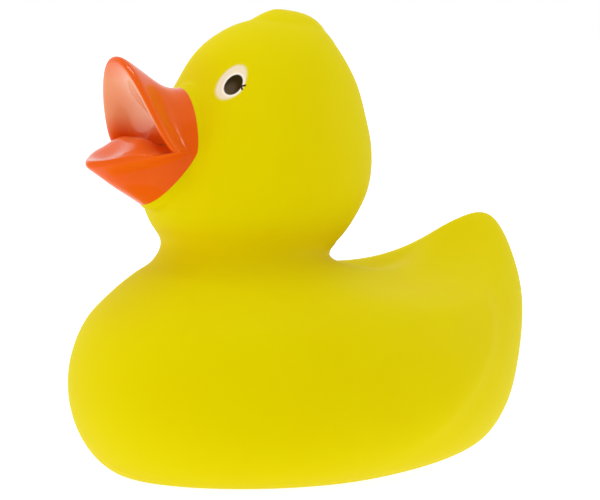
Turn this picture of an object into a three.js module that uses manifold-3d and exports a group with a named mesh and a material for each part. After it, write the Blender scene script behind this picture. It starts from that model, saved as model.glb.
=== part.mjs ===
// A bath duck, moulded in one piece from soft vinyl: a thin hollow shell with a vent hole under it and an open beak.
// Millimetres, +Z up. The beak points along -Y, the duck's left side is +X, and the origin is under its middle.
import * as THREE from "three";
import { mergeVertices } from "three/addons/utils/BufferGeometryUtils.js";
import Module from "manifold-3d";

const wasm = await Module();
wasm.setup();

// Driving dimensions.
const WALL = 2.2;
const VENT_RADIUS = 1.5;
const VENT_PLACE = [0, -9.5];
const CREST_CENTRE = [0, -4, 77.2];
const CREST_HALF_SIZE = [6, 7, 4.1];
const VENT_BORE_LENGTH = 4 * WALL;

// How finely each skin is faceted: columns round it, and rows along it.
const BODY_GRID = [52, 54];
const BEAK_GRID = [32, 27];
const HOLLOW_GRID = [32, 36];
const CREST_GRID = [24, 16];
const VENT_FACETS = 24;

// The duck's skin is a stack of rings. Each is a loop from its first point, over its side point on the duck's left,
// to its last point, and back on the duck's right. first and last are [y, z] in the plane of symmetry, and side is
// [x, y, z]. sharp is how much the loop narrows towards its ends.

// The body's rings run from the middle of the base up to the crown. The first point is in front, the last behind.
const BODY_RINGS = [
  { first: [-9.5, 0], side: [0, -9.5, 0], last: [-9.5, 0], sharp: 0 }, // base centre
  { first: [-21.5, 0], side: [11, -9.5, 0], last: [1.5, 0], sharp: 0 },
  { first: [-33.5, 0], side: [21.5, -8.5, 0], last: [13.5, 0], sharp: 0 }, // base rim
  { first: [-38.8, 3.5], side: [28.5, -5.5, 3.5], last: [33.5, 4], sharp: 0 },
  { first: [-42.6, 10.5], side: [32.8, -2.5, 10], last: [38.6, 11], sharp: 0 },
  { first: [-43.3, 18.5], side: [34, -0.5, 19], last: [41.2, 22], sharp: 0 }, // belly
  { first: [-40.2, 26.5], side: [32.5, -0.5, 27], last: [43.5, 34.3], sharp: 0.4 },
  { first: [-35.2, 32], side: [28, -1.5, 31], last: [40.6, 43.7], sharp: 0.8 }, // shoulder and tail tip
  { first: [-30.9, 35.7], side: [23, -4.5, 33.3], last: [30.7, 42], sharp: 1.6 },
  { first: [-28, 37.7], side: [17.7, -8.5, 36], last: [17, 34.3], sharp: 0.8 }, // back
  { first: [-26.5, 41], side: [14.8, -11, 39.7], last: [2.6, 37.5], sharp: 0 }, // neck
  { first: [-28.9, 44.5], side: [16, -11, 44.5], last: [6.9, 42], sharp: 0 },
  { first: [-30.3, 50.3], side: [19, -10, 50.5], last: [10.5, 49], sharp: 0 },
  { first: [-28.5, 57], side: [20.2, -8.5, 57], last: [10.7, 56], sharp: 0 }, // cheeks
  { first: [-26, 63], side: [19, -7.5, 63], last: [9.3, 62.8], sharp: 0 },
  { first: [-22.7, 68.5], side: [17, -7, 68.3], last: [7.8, 68.5], sharp: 0 },
  { first: [-19.3, 74], side: [13, -6.5, 74], last: [5.1, 74], sharp: 0 },
  { first: [-13, 78.3], side: [7.5, -5.5, 78], last: [2.1, 78.3], sharp: 0 },
  { first: [-5.5, 80], side: [0, -5.5, 80], last: [-5.5, 80], sharp: 0 }, // crown
];
const BODY_SHAPE = {
  first: () => [1, 1, 2],
  last: (sharp) => [1 + 0.4 * sharp, 1 + 0.3 * sharp, 2 + 3.5 * sharp],
};

// The beak's rings run from inside the head out to the lip, and back in over the palate to the throat. The first
// point is on the lower bill, the last on the upper bill.
const BEAK_RINGS = [
  { first: [-15.5, 58], side: [0, -15.5, 58], last: [-15.5, 58], sharp: 0 }, // inside the head
  { first: [-23.5, 50], side: [6.5, -18.5, 57.5], last: [-18.5, 65.5], sharp: 0 },
  { first: [-31, 47.4], side: [8.8, -24.5, 56.8], last: [-23.6, 67.3], sharp: 0 }, // root
  { first: [-37.2, 50.3], side: [9.2, -28.6, 57], last: [-28.6, 68], sharp: 0.3 },
  { first: [-40.7, 52.7], side: [9.8, -29.8, 57.2], last: [-32.6, 70.8], sharp: 0.8 }, // groove behind the lip
  { first: [-43.3, 54.7], side: [10.9, -30.8, 57.3], last: [-37.2, 73.6], sharp: 1 }, // lip
  { first: [-43, 55.7], side: [10.6, -31.8, 57.3], last: [-37.8, 73], sharp: 1 },
  { first: [-38.6, 55.1], side: [9, -31, 57.3], last: [-35.6, 68.4], sharp: 0.9 },
  { first: [-34, 54.9], side: [7, -30, 57.6], last: [-32, 64], sharp: 0.5 },
  { first: [-29.8, 57.7], side: [0, -29.8, 57.7], last: [-29.8, 57.7], sharp: 0 }, // throat
];
const BEAK_SHAPE = {
  first: (sharp) => [1 + 0.25 * sharp, 1.4 + 0.3 * sharp, 1.3],
  last: (sharp) => [1 - 0.1 * sharp, 1 + 0.35 * sharp, 1 + sharp],
};

// A smooth skin over a stack of rings: the place at angle round (0 at a ring's first point, a quarter turn at its
// side point) and share up (0 at the first ring, 1 at the last). shape gives the powers of the loop for x, y and z.
function skinOver(rings, shape) {
  const curve = (read) => new THREE.CatmullRomCurve3(rings.map(read), false, "centripetal");
  const first = curve((ring) => new THREE.Vector3(0, ...ring.first));
  const side = curve((ring) => new THREE.Vector3(...ring.side));
  const last = curve((ring) => new THREE.Vector3(0, ...ring.last));
  const sharp = curve((ring) => new THREE.Vector3(ring.sharp, 0, 0));
  return (round, up) => {
    const cos = Math.cos(round);
    const sin = Math.sin(round);
    const half = cos >= 0 ? "first" : "last";
    const end = (cos >= 0 ? first : last).getPoint(up);
    const [powerX, powerY, powerZ] = shape[half](Math.max(0, sharp.getPoint(up).x));
    const middle = side.getPoint(up);
    return new THREE.Vector3(
      middle.x * Math.sign(sin) * Math.abs(sin) ** powerX,
      THREE.MathUtils.lerp(middle.y, end.y, Math.abs(cos) ** powerY),
      Math.max(0, THREE.MathUtils.lerp(middle.z, end.z, Math.abs(cos) ** powerZ)),
    );
  };
}

// A sphere's grid of faces, with every vertex moved to its place on the skin.
function wrap(skin, columns, rows) {
  const grid = new THREE.SphereGeometry(1, columns, rows);
  const uv = grid.getAttribute("uv");
  const position = grid.getAttribute("position");
  for (let i = 0; i < position.count; i++) {
    position.setXYZ(i, ...skin(2 * Math.PI * uv.getX(i), uv.getY(i)));
  }
  return merged(grid);
}

// The same geometry with only its positions, and each vertex once.
function merged(geometry) {
  const bare = new THREE.BufferGeometry();
  bare.setAttribute("position", geometry.getAttribute("position"));
  bare.setIndex(geometry.index);
  return mergeVertices(bare, 1e-3);
}

// A geometry whose every vertex has moved inwards, along its normal.
function shrunk(geometry, depth) {
  geometry.computeVertexNormals();
  const position = geometry.getAttribute("position");
  const normal = geometry.getAttribute("normal");
  for (let i = 0; i < position.count; i++) {
    const place = new THREE.Vector3().fromBufferAttribute(position, i);
    const outwards = new THREE.Vector3().fromBufferAttribute(normal, i);
    place.addScaledVector(outwards, -depth);
    position.setXYZ(i, ...place);
  }
  return geometry;
}

// A closed geometry with merged vertices as a manifold-3d solid, and back again.
function solid(geometry) {
  const vertProperties = geometry.getAttribute("position").array;
  const triVerts = new Uint32Array(geometry.index.array);
  return new wasm.Manifold(new wasm.Mesh({ numProp: 3, vertProperties, triVerts }));
}
function geometryOf(made) {
  const mesh = made.getMesh();
  const geometry = new THREE.BufferGeometry();
  geometry.setAttribute("position", new THREE.BufferAttribute(mesh.vertProperties, 3));
  geometry.setIndex(new THREE.BufferAttribute(mesh.triVerts, 1));
  geometry.computeVertexNormals();
  return geometry;
}

// The small tuft on the crown.
function crest() {
  const tuft = new THREE.SphereGeometry(1, ...CREST_GRID);
  tuft.scale(...CREST_HALF_SIZE);
  tuft.translate(...CREST_CENTRE);
  return merged(tuft);
}

// The hole through the base that lets water and air out.
function vent() {
  const bore = new THREE.CylinderGeometry(VENT_RADIUS, VENT_RADIUS, VENT_BORE_LENGTH, VENT_FACETS);
  bore.rotateX(Math.PI / 2);
  bore.translate(...VENT_PLACE, WALL / 2);
  return merged(bore);
}

const bodySkin = skinOver(BODY_RINGS, BODY_SHAPE);
const beakSkin = skinOver(BEAK_RINGS, BEAK_SHAPE);
const shell = solid(wrap(bodySkin, ...BODY_GRID))
  .add(solid(wrap(beakSkin, ...BEAK_GRID)))
  .add(solid(crest()))
  .subtract(solid(shrunk(wrap(bodySkin, ...HOLLOW_GRID), WALL)))
  .subtract(solid(vent()));

const duck = new THREE.Mesh(
  geometryOf(shell),
  new THREE.MeshStandardMaterial({ color: 0xdccb00, roughness: 0.5, metalness: 0 }),
);
duck.name = "duck_body";

const part = new THREE.Group();
part.add(duck);

export default part;
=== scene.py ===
"""A bath duck in soft yellow vinyl with a glossy orange beak and painted eyes, on a white light table.

The form is worked out in millimetres and put into metres at the end. The beak points along -Y, the
duck's left side is +X, and the base stands on z = 0.
"""

from collections import namedtuple
from math import acos, atan2, copysign, cos, exp, hypot, pi, radians, sin

import bmesh
import bpy
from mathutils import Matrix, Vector


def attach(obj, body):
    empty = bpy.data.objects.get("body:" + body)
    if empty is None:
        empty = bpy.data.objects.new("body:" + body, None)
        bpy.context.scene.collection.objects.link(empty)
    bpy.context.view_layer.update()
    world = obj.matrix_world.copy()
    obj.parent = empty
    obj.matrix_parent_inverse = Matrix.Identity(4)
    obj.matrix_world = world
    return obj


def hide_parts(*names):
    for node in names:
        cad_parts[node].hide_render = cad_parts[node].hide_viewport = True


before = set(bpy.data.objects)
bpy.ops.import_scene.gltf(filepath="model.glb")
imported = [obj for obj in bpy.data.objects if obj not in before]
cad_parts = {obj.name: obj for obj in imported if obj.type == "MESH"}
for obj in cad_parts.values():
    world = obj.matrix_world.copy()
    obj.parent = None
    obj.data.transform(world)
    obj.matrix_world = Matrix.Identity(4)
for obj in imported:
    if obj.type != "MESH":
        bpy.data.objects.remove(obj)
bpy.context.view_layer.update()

MM = 0.001

# --------------------------------------------------------------------------------------------------
# The form
# --------------------------------------------------------------------------------------------------

# A ring is a loop round the duck from its first point, over its side point on the duck's left, to its
# last point. first and last are (y, z) in the plane of symmetry, side is (x, y, z), and sharp narrows
# the loop towards its ends.
Ring = namedtuple("Ring", "first side last sharp")

# The body's rings run from the middle of the base to the crown. The first point is in front, the last
# behind.
BODY_RINGS = [
    Ring((-9.5, 0), (0, -9.5, 0), (-9.5, 0), 0),  # base centre
    Ring((-21.5, 0), (11, -9.5, 0), (1.5, 0), 0),
    Ring((-33.5, 0), (21.5, -8.5, 0), (13.5, 0), 0),  # base rim
    Ring((-38.8, 3.5), (28.5, -5.5, 3.5), (33.5, 4), 0),
    Ring((-42.6, 10.5), (32.8, -2.5, 10), (38.6, 11), 0),
    Ring((-43.3, 18.5), (34, -0.5, 19), (41.2, 22), 0),  # belly
    Ring((-40.2, 26.5), (32.5, -0.5, 27), (43.7, 34.3), 0.4),
    Ring((-35.2, 32), (28, -1.5, 31), (40.6, 43.7), 0.8),  # shoulder and tail tip
    Ring((-30.9, 35.7), (23, -4.5, 33.3), (31.1, 42.1), 1.6),
    Ring((-28, 37.7), (17.7, -8.5, 36), (17, 34.3), 0.8),  # back
    Ring((-26.5, 41), (14.8, -11, 39.7), (2.6, 37.5), 0),  # neck
    Ring((-28.9, 44.5), (16, -11, 44.5), (6.9, 42), 0),
    Ring((-30.3, 50.3), (19, -10, 50.5), (10.5, 49), 0),
    Ring((-28.5, 57), (20.2, -8.5, 57), (10.7, 56), 0),  # cheeks
    Ring((-26, 63), (19, -7.5, 63), (9.3, 62.8), 0),
    Ring((-22.7, 68.5), (17, -7, 68.3), (7.8, 68.5), 0),
    Ring((-19.3, 74), (13, -6.5, 74), (5.1, 74), 0),
    Ring((-13, 78.3), (7.5, -5.5, 78), (2.1, 78.3), 0),
    Ring((-5.5, 80), (0, -5.5, 80), (-5.5, 80), 0),  # crown
]

# The beak's rings run from its root out to the lip, and back in to the fold at the back of the mouth.
# The first point is on the lower bill, the last on the upper bill.
BEAK_RINGS = [
    Ring((-31.2, 46.8), (9.8, -25.9, 56.8), (-23.6, 68.4), 0),  # fillet on the face
    Ring((-32, 47.6), (9, -26.6, 56.8), (-24.7, 67.7), 0),  # paint's edge
    Ring((-37.1, 50.6), (8.8, -27.1, 56.9), (-28.6, 68.2), 0.3),
    Ring((-40.5, 52.9), (8.7, -28.2, 57), (-32.6, 70.8), 0.8),  # groove behind the lip
    Ring((-42.9, 54.7), (10.9, -30.8, 57.3), (-37.1, 73.4), 1),  # lip
    Ring((-42.7, 55.5), (10.8, -31.7, 57.3), (-37.7, 72.9), 1),
    Ring((-41.7, 55.7), (10, -31.9, 57.3), (-37.4, 71.6), 1),
    Ring((-38.6, 55.1), (9, -31, 57.3), (-35.6, 68.4), 0.9),
    Ring((-34, 54.9), (8.2, -30, 57.6), (-32, 64), 0.5),
    Ring((-29.8, 57.3), (6.8, -29, 57.8), (-29.8, 58.2), 0),  # fold
]


def body_powers(towards_first, sharp):
    """How x, y and z run along a quarter of a body ring: sharp draws its rear half out into the tail."""
    if towards_first:
        return 1, 1, 2
    return 1 + 0.4 * sharp, 1 + 0.3 * sharp, 2 + 3.5 * sharp


def beak_powers(towards_first, sharp):
    """How x, y and z run along a quarter of a beak ring: sharp draws both bills out to their tips."""
    if towards_first:
        return 1 + 0.25 * sharp, 1.4 + 0.3 * sharp, 1.3
    return 1 - 0.1 * sharp, 1 + 0.35 * sharp, 1.4 + 0.6 * sharp


def on_curve(points, share):
    """A place on a smooth curve through points: a centripetal Catmull-Rom spline, share 0 to 1 along it."""
    i = min(int(share * (len(points) - 1)), len(points) - 2)
    t = share * (len(points) - 1) - i
    p1, p2 = points[i], points[i + 1]
    p0 = points[i - 1] if i else 2 * p1 - p2
    p3 = points[i + 2] if i + 2 < len(points) else 2 * p2 - p1
    d1 = (p2 - p1).length ** 0.5 or 1
    d0 = (p1 - p0).length ** 0.5 or d1
    d2 = (p3 - p2).length ** 0.5 or d1
    leave = ((p1 - p0) / d0 - (p2 - p0) / (d0 + d1) + (p2 - p1) / d1) * d1
    arrive = ((p2 - p1) / d1 - (p3 - p1) / (d1 + d2) + (p3 - p2) / d2) * d1
    bend = 3 * (p2 - p1) - 2 * leave - arrive
    return p1 + t * (leave + t * (bend + t * (2 * (p1 - p2) + leave + arrive)))


def lerp(a, b, t):
    return a + (b - a) * t


def smooth(low, high, value):
    """0 below low, 1 above high, and a smooth step between."""
    t = min(max((value - low) / (high - low), 0), 1)
    return t * t * (3 - 2 * t)


def skin_over(rings, powers):
    """The smooth skin over a stack of rings, as a function of the angle round (0 at the first point, a
    quarter turn at the side point) and the share up (0 at the first ring, 1 at the last)."""
    first = [Vector((0, *ring.first)) for ring in rings]
    side = [Vector(ring.side) for ring in rings]
    last = [Vector((0, *ring.last)) for ring in rings]
    sharp = [Vector((ring.sharp, 0, 0)) for ring in rings]

    def place(round_, up):
        along = cos(round_)
        end = on_curve(first if along >= 0 else last, up)
        middle = on_curve(side, up)
        power = powers(along >= 0, max(0, on_curve(sharp, up).x))
        return Vector((
            middle.x * copysign(abs(sin(round_)) ** power[0], sin(round_)),
            lerp(middle.y, end.y, abs(along) ** power[1]),
            max(0, lerp(middle.z, end.z, abs(along) ** power[2])),
        ))

    return place


body_skin = skin_over(BODY_RINGS, body_powers)
beak_skin = skin_over(BEAK_RINGS, beak_powers)

# The cage of the body is a grid of columns and rows. The beak grows out of a hole in front of the head: a
# block of the grid that reaches HOLE_COLUMNS and HOLE_ROWS to each side of the front column and of row
# HOLE_MIDDLE, and is opened out to an oval. The grid eases back to plain by HOLE_REACH times that far.
COLUMNS, ROWS = 48, 60
HOLE_COLUMNS, HOLE_ROWS, HOLE_MIDDLE = 6, 6, 44
HOLE_HALF_TURN = radians(32)
HOLE_REACH = 2.2

# The beak's shares up, closest together where it bends at the lip. The paint starts at PAINT_FROM, and the
# inside of the bills at INSIDE_FROM.
BEAK_SHARES = [
    0, 0.055, 0.111, 0.17, 0.222, 0.28, 0.333, 0.38, 0.42, 0.444, 0.5, 0.555,
    0.6, 0.64, 0.68, 0.73, 0.78, 0.83, 0.889, 0.95, 1,
]
PAINT_FROM, INSIDE_FROM = 3, 13

# Which of the duck's materials a face wears. Faces that are given none wear the first, the vinyl.
OUTER_PAINT, INNER_PAINT = 1, 2

VENT_MIDDLE = Vector((0, -9.5))
VENT_STEPS = [(2.1, 0), (1.6, 0.1), (1.5, 0.6), (1.5, 4), (1.5, 6)]  # radius, height


def opened_out(column, row):
    """The grid near the beak, where squares round the hole's middle become ovals: the angle round the
    body, the share up it, and the angle round the hole."""
    across, rise = column / HOLE_COLUMNS, (row - HOLE_MIDDLE) / HOLE_ROWS
    reach = max(abs(across), abs(rise))
    if abs(across) >= abs(rise):
        turn = pi / 4 * rise / across
        oval = (copysign(reach * cos(turn), across), copysign(reach, across) * sin(turn))
    else:
        turn = pi / 4 * across / rise
        oval = (copysign(reach, rise) * sin(turn), copysign(reach * cos(turn), rise))
    keep = smooth(1, HOLE_REACH, reach)
    round_ = lerp(oval[0] * HOLE_HALF_TURN, 2 * pi * column / COLUMNS, keep)
    up = lerp(HOLE_MIDDLE + oval[1] * HOLE_ROWS, row, keep) / ROWS
    return round_, up, atan2(oval[1], oval[0])


def sink_vent(cage):
    """The round hole in the middle of the base that lets water and air out."""
    centre = min(cage.verts, key=lambda vert: (vert.co.xy - VENT_MIDDLE).length + vert.co.z)
    rim = {edge.other_vert(centre) for edge in centre.link_edges}
    bmesh.ops.delete(cage, geom=[centre], context="VERTS")
    edges = [edge for edge in cage.edges if rim.issuperset(edge.verts)]
    for number, (radius, height) in enumerate(VENT_STEPS):
        if number:
            made = bmesh.ops.extrude_edge_only(cage, edges=edges)["geom"]
            rim = {vert for vert in made if isinstance(vert, bmesh.types.BMVert)}
            edges = [edge for edge in made if isinstance(edge, bmesh.types.BMEdge)]
            edges = [edge for edge in edges if rim.issuperset(edge.verts)]
        for vert in rim:
            outwards = (vert.co.xy - VENT_MIDDLE).normalized()
            vert.co = (*(VENT_MIDDLE + outwards * radius), height)
    bmesh.ops.contextual_create(cage, geom=edges)


def duck_cage():
    """The whole moulding as one cage: the body's skin, the hole for the beak, and the beak drawn out of
    the hole ring by ring and back in to the fold of the mouth, where the last ring stays a thin slit."""
    cage = bmesh.new()
    bmesh.ops.create_uvsphere(cage, u_segments=COLUMNS, v_segments=ROWS, radius=1)
    beak_angle = cage.verts.layers.float.new("beak_angle")
    inside = []
    for vert in cage.verts:
        column = atan2(vert.co.x, -vert.co.y) / (2 * pi) * COLUMNS
        row = (1 - acos(max(-1, min(1, vert.co.z))) / pi) * ROWS
        reach = max(abs(column) / HOLE_COLUMNS, abs(row - HOLE_MIDDLE) / HOLE_ROWS)
        round_, up = 2 * pi * column / COLUMNS, row / ROWS
        if reach < HOLE_REACH:
            round_, up, vert[beak_angle] = opened_out(column, row)
        if round(reach, 3) < 1:
            inside.append(vert)
        vert.co = body_skin(round_, up)
    bmesh.ops.delete(cage, geom=inside, context="VERTS")
    rim = [edge for edge in cage.edges if edge.is_boundary]
    sink_vent(cage)
    for number, share in enumerate(BEAK_SHARES):
        made = bmesh.ops.extrude_edge_only(cage, edges=rim)["geom"]
        rim = [edge for edge in made if isinstance(edge, bmesh.types.BMEdge)]
        rim = [edge for edge in rim if edge.is_boundary]
        for vert in {vert for edge in rim for vert in edge.verts}:
            vert.co = beak_skin(vert[beak_angle] + pi / 2, share)
        for face in made:
            if isinstance(face, bmesh.types.BMFace) and number >= PAINT_FROM:
                face.material_index = INNER_PAINT if number >= INSIDE_FROM else OUTER_PAINT
    bmesh.ops.recalc_face_normals(cage, faces=cage.faces)
    return cage


# --------------------------------------------------------------------------------------------------
# Relief on the smooth skin: heights are along the skin's outward normal, or upwards for the tongue
# --------------------------------------------------------------------------------------------------

# The crest is worked out in plan, so it moves only what lies above CREST_ABOVE.
CREST_MIDDLE = Vector((0, -2.9))
CREST_HALF = Vector((6.6, 6.8))
CREST_HEIGHT = 1.25
CREST_ABOVE = 70


def crest_height(place):
    """The tuft on the crown: a low round lump with a fairly flat top."""
    if place.z < CREST_ABOVE:
        return 0
    off = place.xy - CREST_MIDDLE
    away = hypot(off.x / CREST_HALF.x, off.y / CREST_HALF.y)
    return CREST_HEIGHT * max(0, 1 - away ** 2.5) ** 1.2


# The wing's rear edge is an arc in the side view, round (y, z) WING_MIDDLE. Its top edge, seen from above,
# runs at WING_TOP from the plane of symmetry beside y = 0, and closes in on it towards the tail. It moves
# only what lies below WING_BELOW and behind WING_FRONT.
WING_HEIGHT = 0.8
WING_MIDDLE, WING_RADIUS = Vector((-14.7, 43.9)), 42
WING_TOP, WING_TOP_SLOPE = 31.3, 0.45
WING_FRONT, WING_FULL = -2, 14
WING_BELOW = 40
WING_EDGE = 3
FEATHER_GAP, FEATHER_LINES = 5.5, 3
FEATHER_DEPTH = 0.1
FEATHER_SPREAD = 0.7


def wing_height(place, normal):
    """The folded wing on each flank: it rises out of the shoulder and ends in a soft step along its top
    and along its lower rear edge. Shallow feather lines follow that rear edge."""
    if place.z > WING_BELOW or place.y < WING_FRONT:
        return 0
    behind = (place.yz - WING_MIDDLE).length - WING_RADIUS
    over = -WING_EDGE
    if normal.z > 0:
        over = WING_TOP - WING_TOP_SLOPE * place.y - abs(place.x)
    rise = smooth(WING_FRONT, WING_FULL, place.y)
    step = 1 - smooth(-WING_EDGE, WING_EDGE / 2, max(behind, over))
    feather = 0
    if -FEATHER_LINES * FEATHER_GAP < behind < 0:
        feather = exp(-((behind % FEATHER_GAP) - FEATHER_GAP / 2) ** 2 / FEATHER_SPREAD)
    return rise * step * (WING_HEIGHT - FEATHER_DEPTH * feather)


# The tongue moves only what lies in the mouth's room and faces up: the mouth's floor.
TONGUE_HEIGHT = 4.4
TONGUE_MIDDLE = Vector((0, -34.3))
TONGUE_HALF = Vector((6.8, 3.5))
MOUTH_BACK, MOUTH_HALF_WIDTH = -28.6, 9
MOUTH_BOTTOM, MOUTH_TOP = 53.5, 60
FLOOR_FACES_UP = 0.1


def tongue_height(place, normal):
    """The tongue: a broad hump across the mouth's floor."""
    within = place.y < MOUTH_BACK and abs(place.x) < MOUTH_HALF_WIDTH
    if not (within and MOUTH_BOTTOM < place.z < MOUTH_TOP and normal.z > FLOOR_FACES_UP):
        return 0
    off = place.xy - TONGUE_MIDDLE
    return TONGUE_HEIGHT * exp(-(off.x / TONGUE_HALF.x) ** 4 - (off.y / TONGUE_HALF.y) ** 2)


def add_relief(bm):
    """Moves the fine mesh's vertices for the crest, the wings and the tongue."""
    bm.normal_update()
    for vert in bm.verts:
        outwards = vert.normal * (crest_height(vert.co) + wing_height(vert.co, vert.normal))
        vert.co += outwards + Vector((0, 0, tongue_height(vert.co, vert.normal)))


def new_piece(name, bm, materials):
    """An object from a bmesh in millimetres, shaded smooth, with its place in its mesh."""
    bmesh.ops.scale(bm, vec=(MM, MM, MM), verts=bm.verts)
    mesh = bpy.data.meshes.new(name)
    bm.to_mesh(mesh)
    bm.free()
    mesh.shade_smooth()
    for material in materials:
        mesh.materials.append(material)
    piece = bpy.data.objects.new(name, mesh)
    bpy.context.scene.collection.objects.link(piece)
    return piece


def subdivided(bm, levels):
    """A bmesh's surface after Catmull-Clark subdivision, as a new bmesh."""
    mesh = bpy.data.meshes.new("cage")
    bm.to_mesh(mesh)
    bm.free()
    cage = bpy.data.objects.new("cage", mesh)
    bpy.context.scene.collection.objects.link(cage)
    subdivision = cage.modifiers.new("subdivision", "SUBSURF")
    subdivision.levels = subdivision.render_levels = levels
    fine = bmesh.new()
    fine.from_object(cage, bpy.context.evaluated_depsgraph_get())
    bpy.data.objects.remove(cage)
    bpy.data.meshes.remove(mesh)
    return fine


# --------------------------------------------------------------------------------------------------
# Materials
# --------------------------------------------------------------------------------------------------
def srgb(code):
    """A colour from sRGB hex, such as "f0c000", as the linear RGBA that shaders read."""
    channels = [int(code[i:i + 2], 16) / 255 for i in (0, 2, 4)]
    return tuple(c / 12.92 if c <= 0.04045 else ((c + 0.055) / 1.055) ** 2.4 for c in channels) + (1,)


class Material:
    """A node material with its principled shader and object coordinates ready."""

    def __init__(self, name, **settings):
        self.material = bpy.data.materials.new(name)
        self.material.use_nodes = True
        self.tree = self.material.node_tree
        self.shader = self.tree.nodes["Principled BSDF"]
        for socket, value in settings.items():
            self.shader.inputs[socket.replace("_", " ")].default_value = value
        self.place = self.add("ShaderNodeTexCoord").outputs["Object"]

    def add(self, kind, settings=(), **links):
        """Adds a node, sets its properties, and sets or links its inputs. An input is named, or numbered
        as i0, i1 and so on."""
        node = self.tree.nodes.new(kind)
        for key, value in dict(settings).items():
            setattr(node, key, value)
        for key, value in links.items():
            socket = node.inputs[int(key[1:]) if key[0] == "i" and key[1:].isdigit() else key]
            if isinstance(value, bpy.types.NodeSocket):
                self.tree.links.new(value, socket)
            else:
                socket.default_value = value
        return node

    def link(self, output, socket):
        self.tree.links.new(output, self.shader.inputs[socket])


# The left eye's middle and its two directions in the skin. Places and half sizes on it are in
# millimetres along those directions, long first. The soft value is how far an edge of paint fades.
EYE_MIDDLE = Vector((9.04, -19.7, 68.71))
EYE_LONG = Vector((0.064, 0.64, 0.765)).normalized()
EYE_SHORT = Vector((0.895, 0.298, -0.324)).normalized()
EYE_REACH = 6
EYE_EGG = 0.03
WHITE_HALF, WHITE_SOFT = (3.5, 2.45), 0.3
PUPIL_MIDDLE, PUPIL_HALF, PUPIL_SOFT = (-0.25, 0.68), (2.0, 1.6), 0.12
HALO_HALF, HALO_SOFT = (2.35, 1.95), 0.25
# The SHEEN oval is a painted reflection: a lighter patch on the pupil's lower left that stands in for its
# gloss mirroring the bright floor.
SHEEN_MIDDLE, SHEEN_HALF, SHEEN_SOFT = (-1.4, 0.6), (1.3, 1.1), 0.7
SLIPS = [((-0.1, 1.84), (0.6, 2.7)), ((0.12, 2.14), (-0.26, 2.59))]  # start, end
SLIP_HALF_WIDTH, SLIP_SOFT = 0.19, 0.4

SPECKS = [(30.9, 13.8, 24.4), (31.3, 14.2, 22.3)]
SPECK_CORE, SPECK_EDGE, SPECK_COVER = 0.1, 0.35, 0.5

# The painted shade round the neck, deeper and oranger where shade and bounced light fall in its hollow,
# fades between these shares of an ellipsoid's half sizes.
NECK_MIDDLE, NECK_HALF = Vector((0, -10, 40)), Vector((20, 22, 7))
NECK_FULL, NECK_END, NECK_SHADE_COVER = 0.6, 1.3, 0.4

CLOUD_SIZE, GRAIN_SIZE, GRAIN_DEPTH = 14, 0.9, 0.05
VINYL_ROUGHNESS, PUPIL_ROUGHNESS = 0.62, 0.35
VINYL_SPECULAR, PUPIL_SPECULAR = 0.05, 0.14


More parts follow.
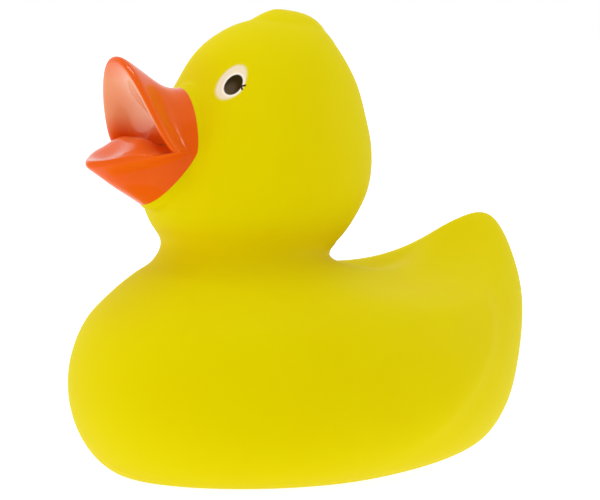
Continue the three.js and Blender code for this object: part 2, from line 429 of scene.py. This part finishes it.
def yellow_vinyl():
    """Rotation-moulded soft PVC: nearly even colour with painted shade round the neck, satin skin, a little
    light carried under the surface. The eyes are painted on it: a cream oval and a dark brown pupil with
    more shine and a painted reflection at its lower left, the left one with a slip of the brush."""
    vinyl = Material("yellow_soft_vinyl", IOR=1.5)
    add = vinyl.add
    vinyl.shader.inputs["Specular Tint"].default_value = srgb("ffe600")
    vinyl.shader.inputs["Subsurface Weight"].default_value = 0.1
    vinyl.shader.inputs["Subsurface Radius"].default_value = (1, 0.7, 0.1)
    vinyl.shader.inputs["Subsurface Scale"].default_value = 2 * MM

    # Pigment that settled a little unevenly in the mould: faint clouds a thumb's width across.
    cloud = add("ShaderNodeTexNoise", Vector=vinyl.place, Scale=1 / (CLOUD_SIZE * MM), Detail=3)
    yellow = add(
        "ShaderNodeMix", {"data_type": "RGBA"},
        i0=cloud.outputs["Fac"], i6=srgb("dec900"), i7=srgb("ded100"),
    )

    # Painted shade: the skin is painted deeper and oranger round the neck, where shade and bounced yellow
    # light fall in the hollow under the head.
    from_neck = add(
        "ShaderNodeVectorMath", {"operation": "SUBTRACT"}, i0=vinyl.place, i1=NECK_MIDDLE * MM,
    )
    necks = add(
        "ShaderNodeVectorMath", {"operation": "DIVIDE"}, i0=from_neck.outputs[0], i1=NECK_HALF * MM,
    )
    to_neck = add("ShaderNodeVectorMath", {"operation": "LENGTH"}, i0=necks.outputs[0])
    painted_neck_shade = add(
        "ShaderNodeMapRange", {"interpolation_type": "SMOOTHSTEP"},
        i0=to_neck.outputs["Value"], i1=NECK_FULL, i2=NECK_END, i3=NECK_SHADE_COVER, i4=0,
    )
    colour = add(
        "ShaderNodeMix", {"data_type": "RGBA"},
        i0=painted_neck_shade.outputs[0], i6=yellow.outputs[2], i7=srgb("d8b000"),
    )

    # Two specks of dirt stuck in the skin of the left wing.
    for speck in SPECKS:
        off = add(
            "ShaderNodeVectorMath", {"operation": "DISTANCE"},
            i0=vinyl.place, i1=Vector(speck) * MM,
        )
        spot = add(
            "ShaderNodeMapRange",
            i0=off.outputs["Value"], i1=SPECK_CORE * MM, i2=SPECK_EDGE * MM, i3=SPECK_COVER, i4=0,
        )
        colour = add(
            "ShaderNodeMix", {"data_type": "RGBA"},
            i0=spot.outputs[0], i6=colour.outputs[2], i7=srgb("8a7a10"),
        )

    # Folded over the plane of symmetry, the right eye falls on the left one. Both are then one drawing,
    # flat on the eye's two directions and in millimetres, and slightly egg-shaped.
    axes = add("ShaderNodeSeparateXYZ", Vector=vinyl.place)
    folded_x = add("ShaderNodeMath", {"operation": "ABSOLUTE"}, i0=axes.outputs["X"])
    folded = add(
        "ShaderNodeCombineXYZ", X=folded_x.outputs[0], Y=axes.outputs["Y"], Z=axes.outputs["Z"],
    )
    from_eye = add(
        "ShaderNodeVectorMath", {"operation": "SUBTRACT"}, i0=folded.outputs[0], i1=EYE_MIDDLE * MM,
    )
    long_ = add(
        "ShaderNodeVectorMath", {"operation": "DOT_PRODUCT"}, i0=from_eye.outputs[0], i1=EYE_LONG / MM,
    )
    short = add(
        "ShaderNodeVectorMath", {"operation": "DOT_PRODUCT"}, i0=from_eye.outputs[0], i1=EYE_SHORT / MM,
    )
    far = add("ShaderNodeVectorMath", {"operation": "LENGTH"}, i0=from_eye.outputs[0])
    near = add("ShaderNodeMath", {"operation": "LESS_THAN"}, i0=far.outputs["Value"], i1=EYE_REACH * MM)
    narrow = add(
        "ShaderNodeMath", {"operation": "MULTIPLY_ADD"}, i0=long_.outputs["Value"], i1=EYE_EGG, i2=1,
    )
    eggy = add("ShaderNodeMath", {"operation": "MULTIPLY"}, i0=short.outputs["Value"], i1=narrow.outputs[0])
    flat = add("ShaderNodeCombineXYZ", X=long_.outputs["Value"], Y=eggy.outputs[0])

    def oval(middle, half, soft):
        """1 inside an oval on the eye's plane, 0 outside, with a soft edge."""
        at = add("ShaderNodeVectorMath", {"operation": "SUBTRACT"}, i0=flat.outputs[0], i1=(*middle, 0))
        scaled = add("ShaderNodeVectorMath", {"operation": "DIVIDE"}, i0=at.outputs[0], i1=(*half, 1))
        away = add("ShaderNodeVectorMath", {"operation": "LENGTH"}, i0=scaled.outputs[0])
        fade = soft / half[1]
        edge = add(
            "ShaderNodeMapRange", {"interpolation_type": "SMOOTHSTEP"},
            i0=away.outputs["Value"], i1=1 - fade, i2=1 + fade, i3=1, i4=0,
        )
        return add("ShaderNodeMath", {"operation": "MULTIPLY"}, i0=edge.outputs[0], i1=near.outputs[0])

    def stroke(start, end):
        """1 along a thin stroke between two places on the eye's plane, 0 elsewhere."""
        run = Vector(end) - Vector(start)
        per_run = (*(run / run.length_squared), 0)
        at = add("ShaderNodeVectorMath", {"operation": "SUBTRACT"}, i0=flat.outputs[0], i1=(*start, 0))
        along = add("ShaderNodeVectorMath", {"operation": "DOT_PRODUCT"}, i0=at.outputs[0], i1=per_run)
        held = add("ShaderNodeClamp", i0=along.outputs["Value"])
        foot = add("ShaderNodeVectorMath", {"operation": "SCALE"}, i0=(*run, 0), Scale=held.outputs[0])
        off = add("ShaderNodeVectorMath", {"operation": "DISTANCE"}, i0=at.outputs[0], i1=foot.outputs[0])
        full = (1 - SLIP_SOFT) * SLIP_HALF_WIDTH
        gone = (1 + SLIP_SOFT) * SLIP_HALF_WIDTH
        return add("ShaderNodeMapRange", i0=off.outputs["Value"], i1=full, i2=gone, i3=1, i4=0)

    white = oval((0, 0), WHITE_HALF, WHITE_SOFT)
    halo = oval(PUPIL_MIDDLE, HALO_HALF, HALO_SOFT)
    pupil = oval(PUPIL_MIDDLE, PUPIL_HALF, PUPIL_SOFT)
    # Painted reflection: a grey-brown patch on the pupil's lower left stands in for the floor mirrored in
    # its gloss.
    painted_reflection = oval(SHEEN_MIDDLE, SHEEN_HALF, SHEEN_SOFT)
    painted_pupil_sheen = add("ShaderNodeMath", {"operation": "MULTIPLY"}, i0=painted_reflection.outputs[0], i1=pupil.outputs[0])
    on_left = add("ShaderNodeMath", {"operation": "GREATER_THAN"}, i0=axes.outputs["X"], i1=0)
    brown = pupil
    for start, end in SLIPS:
        slip = add(
            "ShaderNodeMath", {"operation": "MULTIPLY"},
            i0=stroke(start, end).outputs[0], i1=on_left.outputs[0],
        )
        brown = add("ShaderNodeMath", {"operation": "MAXIMUM"}, i0=brown.outputs[0], i1=slip.outputs[0])
    for mask, paint in [(white, "eedec0"), (halo, "fbf3e2"), (brown, "1e0c08"), (painted_pupil_sheen, "4a3c30")]:
        colour = add(
            "ShaderNodeMix", {"data_type": "RGBA"},
            i0=mask.outputs[0], i6=colour.outputs[2], i7=srgb(paint),
        )
    vinyl.link(colour.outputs[2], "Base Color")
    satin = add("ShaderNodeMapRange", i0=brown.outputs[0], i3=VINYL_ROUGHNESS, i4=PUPIL_ROUGHNESS)
    vinyl.link(satin.outputs[0], "Roughness")
    shine = add("ShaderNodeMapRange", i0=brown.outputs[0], i3=VINYL_SPECULAR, i4=PUPIL_SPECULAR)
    vinyl.link(shine.outputs[0], "Specular IOR Level")

    # The skin's fine grain, from the blasted wall of the mould.
    grain = add("ShaderNodeTexNoise", Vector=vinyl.place, Scale=1 / (GRAIN_SIZE * MM), Detail=2)
    bump = add(
        "ShaderNodeBump", Height=grain.outputs["Fac"], Strength=0.15, Distance=GRAIN_DEPTH * MM,
    )
    vinyl.link(bump.outputs[0], "Normal")
    return vinyl.material


ENAMEL_MOTTLE = 6


def enamel(name, coat_ior):
    """Sprayed orange enamel: smooth and glossy, under a clear coat that mirrors what is round it."""
    paint = Material(name, Roughness=0.35, IOR=1.5)
    paint.shader.inputs["Specular IOR Level"].default_value = 0.1
    paint.shader.inputs["Specular Tint"].default_value = srgb("ff8a30")
    paint.shader.inputs["Coat Weight"].default_value = 1.0
    paint.shader.inputs["Coat IOR"].default_value = coat_ior
    paint.shader.inputs["Coat Roughness"].default_value = 0.1
    film = paint.add("ShaderNodeTexNoise", Vector=paint.place, Scale=1 / (ENAMEL_MOTTLE * MM), Detail=2)
    orange = paint.add(
        "ShaderNodeMix", {"data_type": "RGBA"},
        i0=film.outputs["Fac"], i6=srgb("e4560a"), i7=srgb("ec620e"),
    )
    return paint, orange.outputs[2]


def orange_enamel():
    """The outside of the beak, in the full orange."""
    paint, orange = enamel("orange_gloss_enamel", 1.17)
    paint.link(orange, "Base Color")
    return paint.material


# Heights in the mouth: a painted reflection pales the paint between the first two, and it is full again
# between the last two.
PALE_FROM, PALE_FULL = 59.5, 63
TIP_FROM, TIP_FULL = 69, 73


def inside_enamel():
    """The inside of the beak: the palate is painted paler than the tip and the tongue, a painted reflection
    of the bright room in its gloss."""
    paint, orange = enamel("inside_orange_gloss_enamel", 1.25)
    height = paint.add("ShaderNodeSeparateXYZ", Vector=paint.place).outputs["Z"]
    rise = paint.add("ShaderNodeMapRange", i0=height, i1=PALE_FROM * MM, i2=PALE_FULL * MM)
    fall = paint.add("ShaderNodeMapRange", i0=height, i1=TIP_FROM * MM, i2=TIP_FULL * MM, i3=1, i4=0)
    painted_reflection = paint.add("ShaderNodeMath", {"operation": "MULTIPLY"}, i0=rise.outputs[0], i1=fall.outputs[0])
    # Painted reflection: the paler palate stands in for the bright room mirrored in its gloss.
    pale = paint.add(
        "ShaderNodeMix", {"data_type": "RGBA"}, i0=painted_reflection.outputs[0], i6=orange, i7=srgb("e89466"),
    )
    paint.link(pale.outputs[2], "Base Color")
    return paint.material


def floor_material():
    """An opal light table: a matt board that its own even glow makes white, with hardly a shadow."""
    board = Material("opal_light_table", Roughness=0.9)
    board.shader.inputs["Base Color"].default_value = srgb("909090")
    board.shader.inputs["Emission Color"].default_value = srgb("ffffff")
    board.shader.inputs["Emission Strength"].default_value = 0.95
    return board.material


# --------------------------------------------------------------------------------------------------
# The duck, the studio and the camera
# --------------------------------------------------------------------------------------------------
SMOOTHING_LEVELS = 2

# The studio is in metres. The lights aim at LIGHT_AIM, and the flag faces the duck's base.
FLOOR_HALF = 3
LIGHT_AIM, LIGHT_DISTANCE = Vector((0, 0, 0.05)), 0.5
FLAG_DISTANCE, FLAG_HALF = 0.9, 0.5
CAMERA_DISTANCE = 0.55
CAMERA_AIM = Vector((0.0005, -0.0007, 0.0386))
LENS = 186.8


def towards(azimuth, elevation):
    """A direction from its angle round from the duck's front towards its left, and up, in degrees."""
    round_, up = radians(azimuth), radians(elevation)
    return Vector((sin(round_) * cos(up), -cos(round_) * cos(up), sin(up)))


TO_FLAG = towards(88, 25)
TO_CAMERA = towards(58, 5)


def duck():
    """The one moulding, painted."""
    fine = subdivided(duck_cage(), SMOOTHING_LEVELS)
    add_relief(fine)
    piece = new_piece("duck", fine, [yellow_vinyl(), orange_enamel(), inside_enamel()])
    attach(piece, "root")
    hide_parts("duck_body")


def floor():
    """The light table that the duck stands on."""
    bm = bmesh.new()
    bmesh.ops.create_grid(bm, x_segments=1, y_segments=1, size=FLOOR_HALF / MM)
    board = new_piece("floor", bm, [floor_material()])


def area_light(name, direction, width, height, power, only_gloss=False):
    """A soft light at arm's length from the duck. A gloss light shows as a streak in shiny paint and
    nowhere else."""
    light = bpy.data.lights.new(name, "AREA")
    light.shape = "RECTANGLE"
    light.size = width
    light.size_y = height
    light.energy = power
    lamp = bpy.data.objects.new(name, light)
    lamp.location = LIGHT_AIM + direction * LIGHT_DISTANCE
    lamp.rotation_euler = direction.to_track_quat("Z", "Y").to_euler()
    lamp.visible_diffuse = not only_gloss
    bpy.context.scene.collection.objects.link(lamp)


def flag():
    """A grey flag on the duck's left: it keeps that side of the room out of the beak's reflections."""
    bm = bmesh.new()
    bmesh.ops.create_grid(bm, x_segments=1, y_segments=1, size=FLAG_HALF / MM)
    turn = TO_FLAG.to_track_quat("Z", "Y").to_matrix().to_4x4()
    bmesh.ops.transform(bm, verts=bm.verts, matrix=turn)
    bmesh.ops.translate(bm, verts=bm.verts, vec=TO_FLAG * FLAG_DISTANCE / MM)
    cloth = Material("grey_flag_cloth", Roughness=0.9)
    cloth.shader.inputs["Base Color"].default_value = srgb("808080")
    card = new_piece("flag", bm, [cloth.material])
    card.visible_camera = False


def camera():
    """A long lens, a little above the duck and to the left of its beak."""
    lens = bpy.data.cameras.new("camera")
    lens.lens = LENS
    lens.clip_start = 0.01
    lens.clip_end = 20
    eye = bpy.data.objects.new("camera", lens)
    eye.location = CAMERA_AIM + TO_CAMERA * CAMERA_DISTANCE
    eye.rotation_euler = (-TO_CAMERA).to_track_quat("-Z", "Y").to_euler()
    bpy.context.scene.collection.objects.link(eye)
    bpy.context.scene.camera = eye


def studio():
    """White all round, one softbox, and two strips that only the gloss shows."""
    scene = bpy.context.scene
    scene.view_settings.view_transform = "Standard"
    world = bpy.data.worlds.new("studio")
    world.use_nodes = True
    world.node_tree.nodes["Background"].inputs["Color"].default_value = srgb("ffffff")
    world.node_tree.nodes["Background"].inputs["Strength"].default_value = 1.0
    scene.world = world
    area_light("softbox_above", towards(45, 75), width=0.25, height=0.35, power=0.5)
    area_light("gloss_strip_above", towards(58, 70), width=0.28, height=0.05, power=2, only_gloss=True)
    area_light("gloss_strip_behind", towards(146, 20), width=0.04, height=0.2, power=2, only_gloss=True)


duck()
floor()
flag()
studio()
camera()
